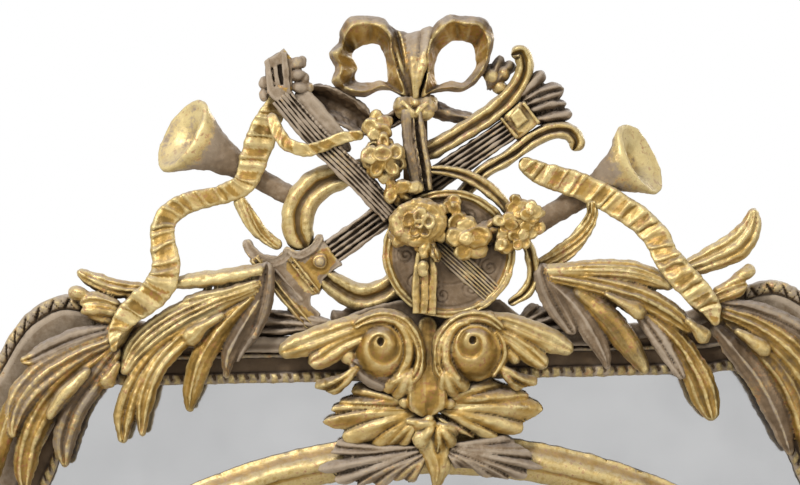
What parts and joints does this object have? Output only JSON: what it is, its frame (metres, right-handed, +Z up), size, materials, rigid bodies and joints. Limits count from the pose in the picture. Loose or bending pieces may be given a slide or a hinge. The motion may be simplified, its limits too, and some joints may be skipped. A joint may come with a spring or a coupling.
{
  "type": "trumeau mirror",
  "caption": "Tall wall mirror in a moulded frame with raised shoulders, glass border and arched inner frame, under a pierced carved crest of lyre, lute, horns, bow, flowers and leaves.",
  "frame": {"origin": "back face of the top rail, in the wall plane, on the axis of the mirror and 30 mm below the rail's top edge at the axis", "axes": "+X to the viewer's right, +Y into the wall (the back faces +Y and the front looks towards -Y), +Z up"},
  "size_m": [1.1502, 0.106, 1.9191],
  "materials": {
    "painted_wood": "aged taupe paint over gesso, waxed, rubbed on the edges",
    "gilt_wood": "worn gilding over red bole, burnished on the high parts",
    "mirror_glass": "silvered plate, slightly grey",
    "bare_pine": "unfinished, aged",
    "iron": "dark wrought iron"
  },
  "bodies": {
    "root": {"top_rail": "painted_wood", "right_shoulder": "painted_wood", "left_shoulder": "painted_wood", "right_stile": "painted_wood", "left_stile": "painted_wood", "bottom_rail": "painted_wood", "right_hanging_plate": "iron", "left_hanging_plate": "iron", "inner_arch": "gilt_wood", "right_inner_stile": "gilt_wood", "left_inner_stile": "gilt_wood", "inner_bottom_rail": "gilt_wood", "border_glass_top": "mirror_glass", "right_border_glass_side": "mirror_glass", "left_border_glass_side": "mirror_glass", "border_glass_bottom": "mirror_glass", "mirror_plate": "mirror_glass", "backboard_left": "bare_pine", "backboard_middle": "bare_pine", "backboard_right": "bare_pine", "crest_brace": "bare_pine", "right_horn": "painted_wood", "crest_block": "painted_wood", "lyre_upper_arm": "gilt_wood", "lyre_lower_arm": "gilt_wood", "left_horn": "painted_wood", "lyre_base": "painted_wood", "lyre_crossbar": "gilt_wood", "lyre_strings": "painted_wood", "shell_fan": "painted_wood", "bow_knot": "gilt_wood", "bow_left_loop": "gilt_wood", "bow_right_loop": "gilt_wood", "lute_body": "painted_wood", "lute_neck": "painted_wood", "lute_pegbox": "painted_wood", "bow_tails": "painted_wood", "hoop": "gilt_wood", "bow_tail_end": "gilt_wood", "neck_ribbon": "gilt_wood", "top_flowers": "gilt_wood", "great_rose": "gilt_wood", "floret_spray": "gilt_wood", "left_inner_leaves": "gilt_wood", "left_ribbon": "gilt_wood", "left_ribbon_strand": "gilt_wood", "left_outer_leaves": "gilt_wood", "right_ribbon_strand": "gilt_wood", "right_inner_leaves": "gilt_wood", "right_ribbon": "gilt_wood", "right_outer_leaves": "gilt_wood", "left_scroll": "gilt_wood", "right_scroll": "gilt_wood", "centre_drop": "gilt_wood", "left_gilt_leaf": "gilt_wood", "right_gilt_leaf": "gilt_wood", "hanging_leaf": "gilt_wood", "left_taupe_leaf": "painted_wood", "right_taupe_leaf": "painted_wood"}
  },
  "joints": []
}
